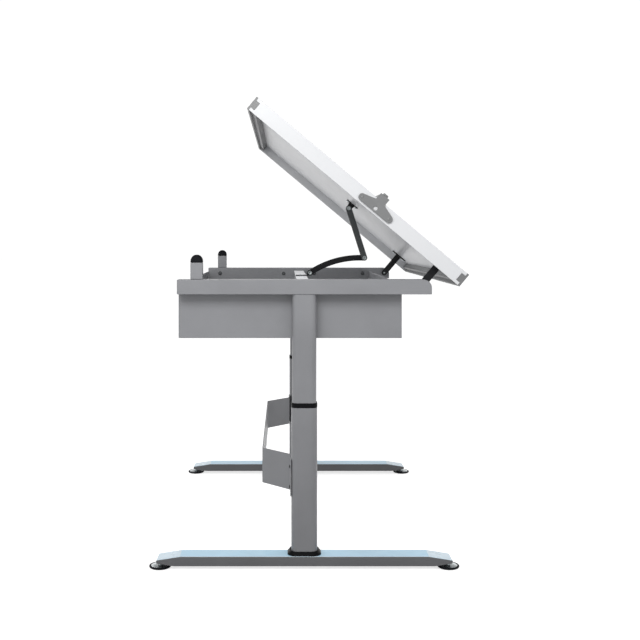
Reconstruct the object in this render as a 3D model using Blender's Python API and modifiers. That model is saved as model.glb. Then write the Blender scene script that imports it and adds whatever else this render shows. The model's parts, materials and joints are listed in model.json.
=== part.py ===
"""Drafting table: a height-adjustable two-column desk frame with a tilting drawing board.

Units are metres and +Z is up. The user sits at +X. The left side is -Y and the right side is +Y.
Every piece is first placed with the board level and the column centres at X = 0. Empties then
carry the pieces: one tilts the board about its hinge, two turn the arm and the link of the stay.
"""
import math
from collections import namedtuple

import bmesh
import bpy
from mathutils import Vector

# ---------------------------------------------------------------- driving dimensions
GAP = 0.0003                   # clearance between pieces that touch
BOLT_HOLE_RADIUS = 0.0036
PIN_HOLE_RADIUS = 0.0046       # clearance hole for the 8 mm pins of the hinge and the stay
SCREW_HOLE_RADIUS = 0.0024
SIDES = (("left", -1), ("right", 1))

COLUMN_Y = 0.5525              # column and foot centre, each side of the middle
FLOOR_CLEARANCE = 0.0113       # underside of a foot beam

FOOT_TOP = 0.0405
FOOT_WIDTH = 0.063
FOOT_FLAT_X = 0.3615           # half length of the flat top
FOOT_TIP_X = 0.431
FOOT_TIP_Z = (0.0193, 0.0295)  # lower and upper corner of the blunt tip
FOOT_RISE_X = 0.380            # where the underside starts to rise towards the tip
FOOT_WALL = 0.0025
LEVELLER_X = 0.4225
LEVELLER_RADIUS = 0.0325

LOWER_TUBE = (0.076, 0.055)    # outside size along X and Y
LOWER_WALL = 0.002
LOWER_TOP = 0.470
COLLAR_SIZE = (0.098, 0.062)
COLLAR_TOP = 0.0535
RING_SIZE = (0.077, 0.056)
RING_TOP = 0.484
UPPER_TUBE = (0.071, 0.050)
UPPER_WALL = 0.0018
UPPER_BOTTOM = 0.235
UPPER_CORNER = 0.017
BASE_BOLT_X = 0.020
SPRING_BORE = 0.009
SPRING_RADIUS = 0.011          # outside of the gas spring's cylinder
SPRING_TOP = 0.400
SPRING_ROD_RADIUS = 0.005
SPRING_PISTON_Z = (0.237, 0.250)

RAIL_BOTTOM = 0.8007
RAIL_TOP = 0.8437
RAIL_X = 0.371                 # half length of a side rail
RAIL_INNER_Y = 0.530
RAIL_OUTER_Y = 0.580
RAIL_WALL = 0.0025
RAIL_NOSE_RADIUS = 0.024

BUMPER_X = -0.315
BUMPER_SIZE = (0.0355, 0.030)  # along X and Y
BUMPER_POST_TOP = 0.8930
BUMPER_SHOULDER = 0.8955       # where the rubber cap starts to round off
BUMPER_CAP_TOP = 0.9160

TRAY_BACK_X = -0.372
TRAY_FRONT_X = 0.290
TRAY_BOTTOM = 0.668
TRAY_TOP = 0.8285
TRAY_SHEET = 0.0015
TRAY_OUTER_Y = 0.524

BEAM_SIZE = 0.039
BEAM_WALL = 0.0025
BEAM_TOP = 0.8325
FLANGE_THICKNESS = 0.004
FLANGE_SIZE = (0.150, 0.034)
FLANGE_Z = 0.8140              # middle height of the beam's flanges
FRAME_BOLT_X = (-0.322, -0.062, 0.062, 0.261)
FRAME_BOLT_Z = 0.821

HINGE_X = 0.3488
HINGE_Z = 0.8236
BOARD_TILT = math.radians(40)  # board angle at rest
BOARD_BACK = -0.3769
BOARD_FRONT = 0.4231
BOARD_HALF_LENGTH = 0.600
BOARD_TOP = 0.9317
PANEL_BOTTOM = 0.9165
EDGE_BOTTOM = 0.8875
EDGE_PLATE = 0.0063
EDGE_TONGUE = 0.0136           # depth of the edge rail's tongue into the board
EDGE_TONGUE_Z = (0.897, 0.9216)
SKIRT_THICKNESS = 0.006

BRACKET_OUTER_Y = 0.517        # outer face of the hinge brackets
BRACKET_SHEET = 0.004
BRACKET_HALF_WIDTH = 0.0112
BRACKET_LOBE_RADIUS = 0.0108
HINGE_PIN_RADIUS = 0.004
HINGE_PIN_HEAD = 0.0058
HINGE_PIN_SHOULDER = 0.0085

STAY_FRAME_PIVOT = (0.0319, 0.8430)
STAY_BOARD_PIVOT = (0.0521, 0.8965)   # with the board level
STAY_ARM = 0.1988
STAY_LINK = 0.1834
STAY_ARM_RISE = 0.016
STAY_WIDTH = 0.020             # width of the arm and of the link's plates
STAY_ARM_HALF = 0.003          # half thickness of the arm
STAY_LINK_Y = (0.0045, 0.0075)  # inner and outer face of the link's plates
STAY_PIN_RADIUS = 0.004
STAY_PIN_HEAD = (0.007, 0.0025)    # radius and height
CLEVIS_Y = (0.0036, 0.0066)    # inner and outer face of the clevis's ears
STAY_BRACKET_SHEET = 0.003
CLEVIS_RADIUS = 0.0105

RULE_X = 0.0921                # straightedge centre on the board
RULE_WIDTH = 0.0317
RULE_TOP = 0.9488
RULE_LOBE_X = 0.050
RULE_LOBE_Z = 0.9049
RULE_LOBE_RADIUS = 0.011
RULE_HOLE_Z = 0.9046
RULE_HOLE_RADIUS = 0.0065
RULE_CHAMFER = 0.004
RULE_HALF_LENGTH = 0.602
RULE_PLATE = 0.003
KNOB_Y = 0.590

STRETCHER_Z = (0.211, 0.318)
STRETCHER_X = -0.1264
STRETCHER_SHEET = 0.003
STRETCHER_BEND_Y = 0.412
FLANGE_REACH = 0.0185          # how far the stretcher's flanges pass the columns' middles
STRETCHER_BOLT_Z = (0.235, 0.294)

# ---------------------------------------------------------------- derived places
FRONT_REACH = (HINGE_X + (BOARD_FRONT - HINGE_X) * math.cos(BOARD_TILT)
               + (BOARD_TOP - HINGE_Z) * math.sin(BOARD_TILT))
BACK_REACH = LEVELLER_X + LEVELLER_RADIUS
COLUMN_X = (BACK_REACH - FRONT_REACH) / 2    # puts the origin at the middle of the whole table

Group = namedtuple("Group", "empty anchor")


# ---------------------------------------------------------------- scene and materials
def clear_scene():
    for item in list(bpy.data.objects):
        bpy.data.objects.remove(item, do_unlink=True)


def new_collection(name):
    collection = bpy.data.collections.new(name)
    bpy.context.scene.collection.children.link(collection)
    return collection


def material(name, color, roughness, metallic=0.0):
    finish = bpy.data.materials.new(name)
    finish.use_nodes = True
    shader = finish.node_tree.nodes["Principled BSDF"]
    shader.inputs["Base Color"].default_value = (*color, 1)
    shader.inputs["Roughness"].default_value = roughness
    shader.inputs["Metallic"].default_value = metallic
    return finish


clear_scene()
PARTS = new_collection("drafting_table")
CUTTERS = new_collection("cutters")
FRAME_PAINT = material("frame_paint", (0.27, 0.27, 0.285), 0.45, 0.2)
TRAY_PAINT = material("tray_paint", (0.24, 0.24, 0.25), 0.5, 0.2)
EDGE_METAL = material("edge_metal", (0.22, 0.22, 0.235), 0.4, 0.6)
BLACK_METAL = material("black_metal", (0.02, 0.02, 0.022), 0.4, 0.4)
DARK_METAL = material("dark_metal", (0.06, 0.065, 0.065), 0.4, 0.5)
BRIGHT_METAL = material("bright_metal", (0.62, 0.66, 0.66), 0.25, 1.0)
LAMINATE = material("white_laminate", (0.86, 0.86, 0.87), 0.35)
BLACK_RUBBER = material("black_rubber", (0.015, 0.015, 0.016), 0.7)
BLACK_PLASTIC = material("black_plastic", (0.02, 0.02, 0.022), 0.45)


# ---------------------------------------------------------------- groups and objects
def make_group(name, anchor, tilt=0.0, parent=None):
    """An empty on a joint's axis. anchor is its place before any group is tilted."""
    empty = bpy.data.objects.new(name, None)
    PARTS.objects.link(empty)
    anchor = Vector(anchor)
    empty.location = anchor
    empty.rotation_euler = (0, tilt, 0)
    if parent:
        empty.parent = parent.empty
        empty.location = anchor - parent.anchor
    return Group(empty, anchor)


def add_object(name, mesh, finish, group, location, rotation=(0, 0, 0)):
    """Add a mesh object at location, given before any group is tilted. No finish means a cutter."""
    piece = bpy.data.objects.new(name, mesh)
    if finish:
        PARTS.objects.link(piece)
        mesh.materials.clear()
        mesh.materials.append(finish)
    else:
        CUTTERS.objects.link(piece)
        piece.hide_render = True
        piece.display_type = "WIRE"
    piece.parent = group.empty
    piece.location = Vector(location) - group.anchor
    piece.rotation_euler = rotation
    return piece


def smooth(mesh, angle=30):
    mesh.shade_smooth()
    mesh.set_sharp_from_angle(angle=math.radians(angle))


def evaluated_mesh(piece):
    graph = bpy.context.evaluated_depsgraph_get()
    graph.update()
    return bpy.data.meshes.new_from_object(piece.evaluated_get(graph), depsgraph=graph)


def box(name, low, high, finish, group):
    """A block between two corners."""
    low = Vector(low)
    high = Vector(high)
    shape = bmesh.new()
    bmesh.ops.create_cube(shape, size=1.0)
    bmesh.ops.scale(shape, vec=high - low, verts=shape.verts)
    mesh = bpy.data.meshes.new(name)
    shape.to_mesh(mesh)
    shape.free()
    return add_object(name, mesh, finish, group, (low + high) / 2)


# turns that point an object's own +Z along a direction
POINTING = {"+x": (0, math.pi / 2, 0), "+y": (-math.pi / 2, 0, 0), "-y": (math.pi / 2, 0, 0),
            "+z": (0, 0, 0)}
PLATE_ROTATION = {"xy": (0, 0, 0), "xz": (math.pi / 2, 0, 0)}


def rod(name, centre, radius, length, direction, finish, group, sides=20):
    """A plain cylinder along a direction."""
    shape = bmesh.new()
    bmesh.ops.create_cone(shape, cap_ends=True, segments=sides, radius1=radius, radius2=radius,
                          depth=length)
    mesh = bpy.data.meshes.new(name)
    shape.to_mesh(mesh)
    shape.free()
    smooth(mesh)
    return add_object(name, mesh, finish, group, centre, POINTING[direction])


def turned(name, profile, centre, finish, group, direction="+z", steps=20):
    """A turned piece. profile runs down its outer side as (radius, height) from top to bottom."""
    mesh = bpy.data.meshes.new(name)
    points = [(radius, 0, height) for radius, height in profile]
    mesh.from_pydata(points, [(i, i + 1) for i in range(len(points) - 1)], [])
    piece = add_object(name, mesh, finish, group, centre, POINTING[direction])
    screw = piece.modifiers.new("turn", "SCREW")
    screw.axis = "Z"
    screw.steps = steps
    screw.render_steps = steps
    screw.use_merge_vertices = True
    screw.merge_threshold = 0.00001
    screw.use_smooth_shade = True
    return piece


def plate(name, outlines, plane, low, high, finish, group):
    """Closed outlines in a plane, the first outside and the others holes, made thick."""
    curve = bpy.data.curves.new(name, "CURVE")
    curve.dimensions = "2D"
    curve.fill_mode = "BOTH"
    curve.extrude = (high - low) / 2
    for outline in outlines:
        spline = curve.splines.new("POLY")
        spline.points.add(len(outline) - 1)
        for point, (u, v) in zip(spline.points, outline):
            point.co = (u, v, 0, 1)
        spline.use_cyclic_u = True
    sketch = bpy.data.objects.new(name + "_sketch", curve)
    CUTTERS.objects.link(sketch)
    mesh = evaluated_mesh(sketch)
    bpy.data.objects.remove(sketch)
    bpy.data.curves.remove(curve)
    mesh.name = name
    shape = bmesh.new()
    shape.from_mesh(mesh)
    bmesh.ops.remove_doubles(shape, verts=shape.verts, dist=0.000005)
    bmesh.ops.recalc_face_normals(shape, faces=shape.faces)
    shape.to_mesh(mesh)
    shape.free()
    smooth(mesh)
    middle = (low + high) / 2
    location = (0, 0, middle) if plane == "xy" else (0, middle, 0)
    return add_object(name, mesh, finish, group, location, PLATE_ROTATION[plane])


def round_edges(piece, width, segments=2):
    bevel = piece.modifiers.new("round", "BEVEL")
    bevel.width = width
    bevel.segments = segments
    bevel.limit_method = "ANGLE"
    bevel.angle_limit = math.radians(40)


def combine(piece, tool, operation):
    boolean = piece.modifiers.new(operation.lower(), "BOOLEAN")
    boolean.operation = operation
    boolean.solver = "EXACT"
    boolean.object = tool


def cut(piece, tool):
    combine(piece, tool, "DIFFERENCE")


def join(piece, tool):
    combine(piece, tool, "UNION")


# ---------------------------------------------------------------- outlines
def arc(centre, radius, start, end, steps=6):
    """Points from one angle to another, in degrees."""
    points = []
    for i in range(steps + 1):
        angle = math.radians(start + (end - start) * i / steps)
        points.append((centre[0] + radius * math.cos(angle), centre[1] + radius * math.sin(angle)))
    return points


def circle(centre, radius, sides=20):
    return arc(centre, radius, 0, 360 - 360 / sides, sides - 1)


def rectangle(low, high):
    return [low, (high[0], low[1]), high, (low[0], high[1])]


def rounded_rectangle(centre, size, radius, steps=6):
    half_x = size[0] / 2 - radius
    half_y = size[1] / 2 - radius
    points = []
    for turn, (sign_x, sign_y) in enumerate(((1, 1), (-1, 1), (-1, -1), (1, -1))):
        corner = (centre[0] + sign_x * half_x, centre[1] + sign_y * half_y)
        points += arc(corner, radius, 90 * turn, 90 * turn + 90, steps)
    return points


def grown(size, amount):
    return (size[0] + 2 * amount, size[1] + 2 * amount)


def bent_bar(length, rise, width, steps=8):
    """A bar from the origin along +X that bows upwards, with round ends."""
    radius = (length ** 2 / 4 + rise ** 2) / (2 * rise)
    half = math.degrees(math.asin(length / 2 / radius))
    centre = (length / 2, rise - radius)
    points = arc(centre, radius + width / 2, 90 + half, 90 - half, steps)
    points += arc((length, 0), width / 2, 90 - half, -90 - half, 8)[1:-1]
    points += arc(centre, radius - width / 2, 90 - half, 90 + half, steps)
    points += arc((0, 0), width / 2, 270 + half, 90 + half, 8)[1:-1]
    return points


def straight_bar(length, width, steps=8):
    """A bar from the origin along +X with round ends."""
    points = arc((0, 0), width / 2, 90, 270, steps)
    return points + arc((length, 0), width / 2, -90, 90, steps)


def shifted(outline, dx, dy):
    return [(u + dx, v + dy) for u, v in outline]


def mirrored(points):
    """The points, then their mirror images in the opposite order."""
    return points + [(-u, v) for u, v in reversed(points)]


def knee_place(frame_pivot, board_pivot):
    """Where the stay's arm and link meet, on the user's side of both pivots."""
    start = Vector(frame_pivot)
    reach = Vector(board_pivot) - start
    span = reach.length
    along = (STAY_ARM ** 2 - STAY_LINK ** 2 + span ** 2) / (2 * span)
    offset = math.sqrt(STAY_ARM ** 2 - along ** 2)
    unit = reach / span
    return start + unit * along + Vector((unit.y, -unit.x)) * offset


def tilted_place(point):
    """Where a point of the level board stands when the board is tilted."""
    x = point[0] - HINGE_X
    z = point[1] - HINGE_Z
    cosine = math.cos(BOARD_TILT)
    sine = math.sin(BOARD_TILT)
    return (HINGE_X + x * cosine + z * sine, HINGE_Z - x * sine + z * cosine)


def slope(start, end):
    """Turn about +Y that swings +X from one point towards the other."""
    return -math.atan2(end[1] - start[1], end[0] - start[0])


def headed_pin_profile(shank_radius, half_grip, head_radius, head_height):
    """A pin with a flat round head at each end."""
    top = half_grip + head_height
    return [(0, top), (head_radius - 0.001, top), (head_radius, top - 0.001),
            (head_radius, half_grip), (shank_radius, half_grip), (shank_radius, -half_grip),
            (head_radius, -half_grip), (head_radius, 0.001 - top), (head_radius - 0.001, -top),
            (0, -top)]


# ---------------------------------------------------------------- base
def foot_outline(inset):
    """Side outline of a foot beam, moved inwards by a wall thickness."""
    slope_shift = inset * 0.15
    right = [(FOOT_FLAT_X - slope_shift, FOOT_TOP - inset),
             (FOOT_TIP_X - inset, FOOT_TIP_Z[1] - inset),
             (FOOT_TIP_X - inset, FOOT_TIP_Z[0] + inset),
             (FOOT_RISE_X + slope_shift, FLOOR_CLEARANCE + inset)]
    return mirrored(right)


def foot_beam(side_name, side, base):
    y = side * COLUMN_Y
    half = FOOT_WIDTH / 2
    beam = plate(f"foot_beam_{side_name}", [foot_outline(0)], "xz", y - half, y + half,
                 FRAME_PAINT, base)
    round_edges(beam, 0.003)
    hollow = plate(f"foot_hollow_{side_name}", [foot_outline(FOOT_WALL)], "xz",
                   y - half + FOOT_WALL, y + half - FOOT_WALL, None, base)
    cut(beam, hollow)
    for end in (-1, 1):
        place = (end * LEVELLER_X, y, 0.014)
        cut(beam, rod("leveller_hole", place, 0.0046, 0.020, "+z", None, base))
        place = (end * BASE_BOLT_X, y, FOOT_TOP)
        cut(beam, rod("base_bolt_hole", place, BOLT_HOLE_RADIUS, 0.010, "+z", None, base, 12))
        place = (end * BASE_BOLT_X, y, FLOOR_CLEARANCE)
        cut(beam, rod("bolt_access_hole", place, 0.008, 0.010, "+z", None, base))


def levelling_foot(name, group):
    """A metal dome on a threaded stud, and the rubber cup it stands in."""
    x, y, _ = group.anchor
    dome = [(0, 0.0262), (0.0034, 0.0262), (0.004, 0.0255), (0.004, 0.0108), (0.009, 0.0105),
            (0.018, 0.0088), (0.0262, 0.0060), (0.0272, 0.0036), (0, 0.0036)]
    turned(f"levelling_foot_{name}", dome, (x, y, 0), BRIGHT_METAL, group)
    pad = [(0.0276, 0.0068), (0.0305, 0.0064), (LEVELLER_RADIUS, 0.0042), (0.0315, 0.0012),
           (0.0290, 0), (0, 0)]
    recess = [(0, 0.0033), (0.0276, 0.0033)]
    turned(f"foot_pad_{name}", recess + pad, (x, y, 0), BLACK_RUBBER, group)


def tube(name, y, size, wall, corner, low, high, group):
    outer = rounded_rectangle((0, y), size, corner)
    inner = rounded_rectangle((0, y), grown(size, -wall), corner - wall)
    return plate(name, [outer, inner], "xy", low, high, FRAME_PAINT, group)


def lower_column(side_name, side, base):
    y = side * COLUMN_Y
    corner = UPPER_CORNER + LOWER_WALL
    bottom = FOOT_TOP + GAP
    tube(f"lower_column_{side_name}", y, LOWER_TUBE, LOWER_WALL, corner, bottom, LOWER_TOP, base)
    outer = rounded_rectangle((0, y), COLLAR_SIZE, 0.022)
    inner = rounded_rectangle((0, y), grown(LOWER_TUBE, GAP), corner + GAP)
    collar = plate(f"column_collar_{side_name}", [outer, inner], "xy", bottom, COLLAR_TOP,
                   BLACK_PLASTIC, base)
    round_edges(collar, 0.0015, 1)
    outer = rounded_rectangle((0, y), RING_SIZE, corner)
    inner = rounded_rectangle((0, y), grown(UPPER_TUBE, GAP), UPPER_CORNER + GAP)
    plate(f"column_guide_ring_{side_name}", [outer, inner], "xy", LOWER_TOP + GAP, RING_TOP,
          BLACK_PLASTIC, base)


def lift_spring_cylinder(side_name, side, base):
    """The gas spring's cylinder, welded to the plate that bolts the column to its foot."""
    y = side * COLUMN_Y
    plate_low = FOOT_TOP + GAP
    plate_top = plate_low + 0.005
    mouth = SPRING_ROD_RADIUS + GAP
    seal = SPRING_TOP - 0.010
    profile = [(mouth, SPRING_TOP), (SPRING_BORE, SPRING_TOP), (SPRING_RADIUS, SPRING_TOP - 0.002),
               (SPRING_RADIUS, plate_top - 0.001), (0, plate_top - 0.001), (0, plate_top + 0.004),
               (SPRING_BORE, plate_top + 0.004), (SPRING_BORE, seal), (mouth, seal),
               (mouth, SPRING_TOP)]
    cylinder = turned(f"lift_spring_cylinder_{side_name}", profile, (0, y, 0), DARK_METAL, base)
    foot = plate("base_plate", [rounded_rectangle((0, y), (0.070, 0.049), 0.014)], "xy",
                 plate_low, plate_top, None, base)
    join(cylinder, foot)
    for end in (-1, 1):
        shank = FOOT_WALL + 2 * GAP + 0.002
        seat = FOOT_TOP - FOOT_WALL - GAP
        profile = [(0, shank), (0.003, shank), (0.003, 0), (0.0055, 0), (0.0055, -0.002),
                   (0.0035, -0.004), (0, -0.004)]
        join(cylinder, turned("base_bolt", profile, (end * BASE_BOLT_X, y, seat), None, base,
                              steps=12))


def stretcher_outline():
    """Plan outline of the folded sheet: flat middle, sloping wings, flanges on the columns."""
    seat = -LOWER_TUBE[0] / 2 - GAP
    flange = seat - STRETCHER_SHEET
    flange_y = STRETCHER_BEND_Y + flange - STRETCHER_X
    end_y = COLUMN_Y + FLANGE_REACH
    slip = STRETCHER_SHEET * math.tan(math.radians(22.5))
    back = [(STRETCHER_X, STRETCHER_BEND_Y), (flange, flange_y), (flange, end_y)]
    front = [(seat, end_y), (seat, flange_y - slip),
             (STRETCHER_X + STRETCHER_SHEET, STRETCHER_BEND_Y - slip)]
    half = back + front
    return half + [(x, -y) for x, y in reversed(half)]


def stretcher_panel(base):
    stretcher = plate("stretcher_panel", [stretcher_outline()], "xy", *STRETCHER_Z, FRAME_PAINT,
                      base)
    for _, side in SIDES:
        for z in STRETCHER_BOLT_Z:
            centre = (-LOWER_TUBE[0] / 2, side * COLUMN_Y, z)
            cut(stretcher, rod("bolt_hole", centre, BOLT_HOLE_RADIUS, 0.010, "+x", None, base, 12))


# ---------------------------------------------------------------- lifting frame
def upper_column(side_name, side, lift):
    y = side * COLUMN_Y
    top = RAIL_BOTTOM - GAP
    tube(f"upper_column_{side_name}", y, UPPER_TUBE, UPPER_WALL, UPPER_CORNER, UPPER_BOTTOM, top,
         lift)
    shaft = SPRING_ROD_RADIUS
    piston = SPRING_BORE - 0.0004
    piston_low, piston_high = SPRING_PISTON_Z
    profile = [(0, top - 0.001), (shaft, top - 0.001), (shaft, piston_high),
               (piston, piston_high), (piston, piston_low), (0, piston_low)]
    spring_rod = turned(f"lift_spring_rod_{side_name}", profile, (0, y, 0), BRIGHT_METAL, lift)
    head = plate("head_plate", [rounded_rectangle((0, y), (0.066, 0.045), 0.013)], "xy",
                 top - 0.005, top, None, lift)
    join(spring_rod, head)


def rail_outline(inset):
    nose = RAIL_NOSE_RADIUS - inset
    corner = (RAIL_X - RAIL_NOSE_RADIUS, RAIL_TOP - RAIL_NOSE_RADIUS)
    points = [(-RAIL_X + inset, RAIL_BOTTOM + inset), (RAIL_X - inset, RAIL_BOTTOM + inset)]
    return points + arc(corner, nose, 0, 90, 8) + [(-RAIL_X + inset, RAIL_TOP - inset)]


def side_rail(side_name, side, lift):
    low, high = sorted((side * RAIL_INNER_Y, side * RAIL_OUTER_Y))
    rail = plate(f"side_rail_{side_name}", [rail_outline(0)], "xz", low, high, FRAME_PAINT, lift)
    hollow = plate("rail_hollow", [rail_outline(RAIL_WALL)], "xz", low + RAIL_WALL,
                   high - RAIL_WALL, None, lift)
    cut(rail, hollow)
    place = (0, side * COLUMN_Y, RAIL_BOTTOM)
    cut(rail, rod("column_bolt_hole", place, 0.012, 0.012, "+z", None, lift))
    for x in FRAME_BOLT_X:
        place = (x, side * RAIL_INNER_Y, FRAME_BOLT_Z)
        cut(rail, rod("frame_bolt_hole", place, BOLT_HOLE_RADIUS, 0.012, "+y", None, lift, 12))


def tray(lift):
    """An open-topped storage tray of sheet steel, hung between the side rails."""
    back = TRAY_BACK_X + TRAY_SHEET + GAP
    front = TRAY_FRONT_X - TRAY_SHEET - GAP
    floor_top = TRAY_BOTTOM + TRAY_SHEET
    box("tray_floor", (back, -TRAY_OUTER_Y, TRAY_BOTTOM), (front, TRAY_OUTER_Y, floor_top),
        TRAY_PAINT, lift)
    box("tray_back_panel", (TRAY_BACK_X, -TRAY_OUTER_Y, TRAY_BOTTOM),
        (TRAY_BACK_X + TRAY_SHEET, TRAY_OUTER_Y, TRAY_TOP), TRAY_PAINT, lift)
    box("tray_front_panel", (TRAY_FRONT_X - TRAY_SHEET, -TRAY_OUTER_Y, TRAY_BOTTOM),
        (TRAY_FRONT_X, TRAY_OUTER_Y, TRAY_TOP), TRAY_PAINT, lift)
    for side_name, side in SIDES:
        outline = rectangle((back, floor_top + GAP), (front, TRAY_TOP))
        holes = [circle((x, FRAME_BOLT_Z), BOLT_HOLE_RADIUS, 12) for x in FRAME_BOLT_X]
        low, high = sorted((side * (TRAY_OUTER_Y - TRAY_SHEET), side * TRAY_OUTER_Y))
        plate(f"tray_end_panel_{side_name}", [outline] + holes, "xz", low, high, TRAY_PAINT, lift)


def cross_beam(lift):
    """A square tube between the side rails, with a bolting flange welded to each end."""
    half = BEAM_SIZE / 2
    middle = BEAM_TOP - half
    flange_end = TRAY_OUTER_Y - TRAY_SHEET - GAP
    beam_end = flange_end - FLANGE_THICKNESS / 2
    beam = box("cross_beam", (-half, -beam_end, BEAM_TOP - BEAM_SIZE), (half, beam_end, BEAM_TOP),
               FRAME_PAINT, lift)
    holes = [circle((x, FRAME_BOLT_Z), BOLT_HOLE_RADIUS, 12) for x in FRAME_BOLT_X[1:3]]
    outline = rounded_rectangle((0, FLANGE_Z), FLANGE_SIZE, 0.005, 3)
    for _, side in SIDES:
        low, high = sorted((side * (flange_end - FLANGE_THICKNESS), side * flange_end))
        join(beam, plate("flange", [outline] + holes, "xz", low, high, None, lift))
    bore = half - BEAM_WALL
    cut(beam, box("beam_hollow", (-bore, -0.6, middle - bore), (bore, 0.6, middle + bore), None,
                  lift))


def bumper(side_name, side, lift):
    """A post on the rail that carries the level board on a rubber cap."""
    x = BUMPER_X
    y = side * (RAIL_INNER_Y + RAIL_OUTER_Y) / 2
    half_x = BUMPER_SIZE[0] / 2
    half_y = BUMPER_SIZE[1] / 2
    rise = BUMPER_CAP_TOP - BUMPER_SHOULDER
    outline = rectangle((x - half_x, RAIL_TOP + GAP), (x + half_x, BUMPER_POST_TOP))
    post = plate(f"bumper_post_{side_name}", [outline], "xz", y - half_y, y + half_y, FRAME_PAINT,
                 lift)
    round_edges(post, 0.002)
    dome = [(x + half_x * u, BUMPER_SHOULDER + rise * v) for u, v in arc((0, 0), 1, 0, 180, 10)]
    seat = BUMPER_POST_TOP + GAP
    outline = [(x - half_x, seat), (x + half_x, seat)] + dome
    cap = plate(f"bumper_cap_{side_name}", [outline], "xz", y - half_y, y + half_y, BLACK_RUBBER,
                lift)
    round_edges(cap, 0.0015, 1)


def hinge_pin(side_name, side, lift):
    """A shouldered stub on the rail's inner face."""
    shoulder = RAIL_INNER_Y - GAP - BRACKET_OUTER_Y - GAP
    neck = shoulder + BRACKET_SHEET + 2 * GAP
    tip = neck + 0.0035
    shank = HINGE_PIN_RADIUS
    head = HINGE_PIN_HEAD
    collar = HINGE_PIN_SHOULDER
    profile = [(0, tip), (0.0036, tip), (head, tip - 0.001), (head, neck), (shank, neck),
               (shank, shoulder), (collar, shoulder), (collar, 0), (0, 0)]
    place = (HINGE_X, side * (RAIL_INNER_Y - GAP), HINGE_Z)
    turned(f"hinge_pin_{side_name}", profile, place, BRIGHT_METAL, lift,
           "+y" if side < 0 else "-y")


def stay_frame_bracket(lift):
    """A clevis on the cross beam that holds the stay's arm."""
    x, z = STAY_FRAME_PIVOT
    seat = BEAM_TOP + GAP
    bracket = box("stay_frame_bracket", (-0.018, -0.017, seat),
                  (0.0238, 0.017, seat + STAY_BRACKET_SHEET), BLACK_METAL, lift)
    root = seat + 0.0005
    for _, side in SIDES:
        outline = [(0.010, root)] + arc((x, z), CLEVIS_RADIUS, -67, 180, 14)
        outline += [(x - CLEVIS_RADIUS, seat + 0.0025), (0.010, seat + 0.0025)]
        low, high = sorted((side * CLEVIS_Y[0], side * CLEVIS_Y[1]))
        join(bracket, plate("ear", [outline], "xz", low, high, None, lift))
    cut(bracket, rod("pin_hole", (x, 0, z), PIN_HOLE_RADIUS, 0.030, "+y", None, lift))
    for y in (-0.0122, 0.0122):
        place = (-0.004, y, seat)
        cut(bracket, rod("screw_hole", place, SCREW_HOLE_RADIUS, 0.020, "+z", None, lift, 12))
    profile = headed_pin_profile(STAY_PIN_RADIUS, CLEVIS_Y[1] + GAP, *STAY_PIN_HEAD)
    turned("stay_frame_pin", profile, (x, 0, z), BRIGHT_METAL, lift, "+y")


# ---------------------------------------------------------------- board
def board_outline(bottom, tongue_low):
    """End outline of the board's body, notched at both edges for the edge rails' tongues."""
    back = BOARD_BACK + EDGE_PLATE + GAP
    front = BOARD_FRONT - EDGE_PLATE - GAP
    top = BOARD_TOP - GAP
    high = EDGE_TONGUE_Z[1] + GAP
    deep_back = back + EDGE_TONGUE
    deep_front = front - EDGE_TONGUE
    upper = [(deep_front, high), (front, high), (front, top), (back, top), (back, high),
             (deep_back, high)]
    if tongue_low > bottom:
        lower = [(deep_back, tongue_low), (back, tongue_low), (back, bottom), (front, bottom),
                 (front, tongue_low), (deep_front, tongue_low)]
    else:
        lower = [(deep_back, bottom), (deep_front, bottom)]
    return upper + lower


def edge_outline(edge, inward):
    """T-shaped section of an edge rail. inward is +1 where the board lies towards +X."""
    face = edge + inward * EDGE_PLATE
    tip = face + inward * EDGE_TONGUE
    low, high = EDGE_TONGUE_Z
    return [(edge, EDGE_BOTTOM), (face, EDGE_BOTTOM), (face, low), (tip, low), (tip, high),
            (face, high), (face, BOARD_TOP), (edge, BOARD_TOP)]


def board_shell(board):
    skirt_inner = BOARD_HALF_LENGTH - SKIRT_THICKNESS
    panel_half = skirt_inner - GAP
    plate("board_panel", [board_outline(PANEL_BOTTOM, 0)], "xz", -panel_half, panel_half, LAMINATE,
          board)
    for name, edge, inward in (("back", BOARD_BACK, 1), ("front", BOARD_FRONT, -1)):
        plate(f"edge_rail_{name}", [edge_outline(edge, inward)], "xz", -BOARD_HALF_LENGTH,
              BOARD_HALF_LENGTH, EDGE_METAL, board)
    outline = board_outline(EDGE_BOTTOM + GAP, EDGE_TONGUE_Z[0] - GAP)
    for side_name, side in SIDES:
        low, high = sorted((side * skirt_inner, side * BOARD_HALF_LENGTH))
        plate(f"end_skirt_{side_name}", [outline], "xz", low, high, LAMINATE, board)


def hinge_bracket(side_name, side, board):
    """An L-shaped bracket from the board down to its hinge pin."""
    top = PANEL_BOTTOM - GAP
    half = BRACKET_HALF_WIDTH
    outline = arc((HINGE_X, HINGE_Z), BRACKET_LOBE_RADIUS, 180, 360, 12)
    outline += [(HINGE_X + half, HINGE_Z + 0.016), (HINGE_X + half, top),
                (HINGE_X - half, top), (HINGE_X - half, HINGE_Z + 0.016)]
    low, high = sorted((side * (BRACKET_OUTER_Y - BRACKET_SHEET), side * BRACKET_OUTER_Y))
    bracket = plate(f"hinge_bracket_{side_name}", [outline, circle((HINGE_X, HINGE_Z),
                    PIN_HOLE_RADIUS)], "xz", low, high, BLACK_METAL, board)
    low, high = sorted((side * (BRACKET_OUTER_Y - 0.029), side * (BRACKET_OUTER_Y - 0.0005)))
    foot = box("foot", (HINGE_X - 0.032, low, top - BRACKET_SHEET), (HINGE_X + 0.032, high, top),
               None, board)
    join(bracket, foot)


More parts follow.
